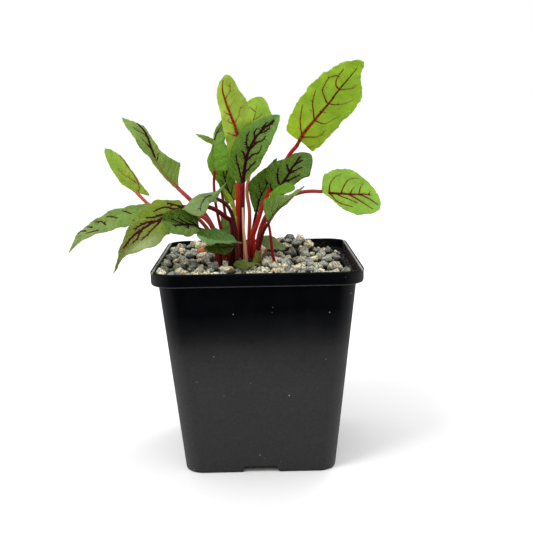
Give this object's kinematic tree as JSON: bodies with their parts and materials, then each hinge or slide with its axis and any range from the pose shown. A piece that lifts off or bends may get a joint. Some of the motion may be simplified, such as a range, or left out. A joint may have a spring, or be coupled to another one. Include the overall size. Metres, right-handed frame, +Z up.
{
  "type": "potted bloody dock",
  "caption": "Young red-veined dock in a square black nursery pot topped with grey and cream grit, its leaves fanning up and out on red stalks.",
  "frame": {"origin": "middle of the pot's underside, on the surface it stands on", "axes": "+Z up along the pot, +X to the right and +Y away from the viewer, square to the pot's sides"},
  "size_m": [0.1361, 0.09, 0.1777],
  "materials": {
    "pot": "satin near-black moulded plastic",
    "soil": "moist dark potting soil",
    "gravel": "rough angular grit, blue-grey and cream",
    "blade": "soft satin leaf, green with dark red veins",
    "stalk": "smooth juicy red stalk"
  },
  "bodies": {
    "root": {"pot": "pot", "soil": "soil", "gravel": "gravel", "young_shoot": "stalk", "drooping_far_left_blade": "blade", "drooping_far_left_stalk": "stalk", "drooping_front_left_blade": "blade", "drooping_front_left_stalk": "stalk", "long_upper_left_blade": "blade", "long_upper_left_stalk": "stalk", "bright_left_blade": "blade", "bright_left_stalk": "stalk", "rounded_front_left_blade": "blade", "rounded_front_left_stalk": "stalk", "grey_green_left_blade": "blade", "grey_green_left_stalk": "stalk", "young_strip_blade": "blade", "young_strip_stalk": "stalk", "small_behind_left_blade": "blade", "small_behind_left_stalk": "stalk", "folded_low_left_blade": "blade", "folded_low_left_stalk": "stalk", "dark_low_left_blade": "blade", "dark_low_left_stalk": "stalk", "tall_centre_left_blade": "blade", "tall_centre_left_stalk": "stalk", "pale_back_blade": "blade", "pale_back_stalk": "stalk", "dark_centre_blade": "blade", "dark_centre_stalk": "stalk", "upright_left_blade": "blade", "upright_left_stalk": "stalk", "broad_behind_left_blade": "blade", "broad_behind_left_stalk": "stalk", "narrow_back_left_blade": "blade", "narrow_back_left_stalk": "stalk", "large_upper_right_blade": "blade", "large_upper_right_stalk": "stalk", "rounded_right_blade": "blade", "rounded_right_stalk": "stalk", "folded_right_blade": "blade", "folded_right_stalk": "stalk", "small_bright_right_blade": "blade", "small_bright_right_stalk": "stalk", "dark_right_blade": "blade", "dark_right_stalk": "stalk", "dark_behind_right_blade": "blade", "dark_behind_right_stalk": "stalk", "low_back_right_blade": "blade", "low_back_right_stalk": "stalk", "low_front_blade": "blade", "low_front_stalk": "stalk"}
  },
  "joints": []
}
